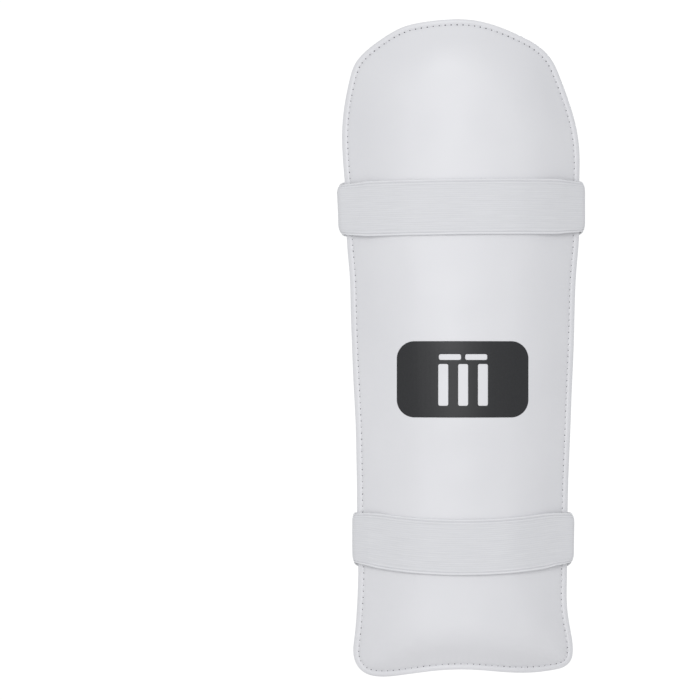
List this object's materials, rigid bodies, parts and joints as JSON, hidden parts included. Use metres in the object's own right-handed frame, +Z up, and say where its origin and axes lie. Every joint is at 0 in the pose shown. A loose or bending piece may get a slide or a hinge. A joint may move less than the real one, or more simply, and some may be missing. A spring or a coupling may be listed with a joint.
{
  "type": "cricket shin guard pad",
  "caption": "Curved one-piece foam shin guard with a rounded knee dome and scalloped foot end, towelling inside, coated face outside, held on by two wide elastic loops.",
  "frame": {"origin": "on the inner towelling surface, on the centreline across the shin, midway between the two elastic loops", "axes": "+Z up the shin towards the knee dome, +Y out of the hollow towards the leg, -Y out through the padded face, +X to the right when the face is looked at"},
  "size_m": [0.1698, 0.044, 0.4509],
  "materials": {
    "face_cover": "white coated synthetic leather, matte",
    "foam": "white closed-cell impact foam",
    "soft_foam": "white open-cell comfort foam",
    "towelling": "white looped cotton towelling",
    "thread": "white polyester thread",
    "elastic": "white ribbed woven elastic",
    "label": "white woven satin",
    "badge": "charcoal heat-set print film"
  },
  "bodies": {
    "pad": {"face_cover": "face_cover", "impact_foam": "foam", "comfort_foam": "soft_foam", "towel_liner": "towelling", "face_stitches": "thread", "liner_stitches": "thread", "front_badge": "badge", "size_label_tab": "label"},
    "upper_strap": {"upper_strap_front": "elastic", "upper_strap_seam": "thread"},
    "upper_back_run": {"upper_strap_back": "elastic"},
    "lower_strap": {"lower_strap_front": "elastic", "lower_strap_seam": "thread"},
    "lower_back_run": {"lower_strap_back": "elastic"},
    "label": {"size_label": "label"}
  },
  "joints": [
    {"name": "upper_strap_slide", "type": "slide", "parent": "pad", "child": "upper_strap", "axis": [0, 0, 1], "range_m": [-0.035, 0.008]},
    {"name": "upper_strap_stretch", "type": "slide", "parent": "upper_strap", "child": "upper_back_run", "axis": [0, 1, 0], "range_m": [0, 0.095], "stiffness_N_per_m": 150},
    {"name": "lower_strap_slide", "type": "slide", "parent": "pad", "child": "lower_strap", "axis": [0, 0, 1], "range_m": [-0.015, 0.02]},
    {"name": "lower_strap_stretch", "type": "slide", "parent": "lower_strap", "child": "lower_back_run", "axis": [0, 1, 0], "range_m": [0, 0.06], "stiffness_N_per_m": 200},
    {"name": "label_flip", "type": "hinge", "parent": "pad", "child": "label", "pos_m": [-0.0114, 0.00188, 0.2354], "axis": [0.9946, -0.104, 0], "range_deg": [0, 130]}
  ]
}
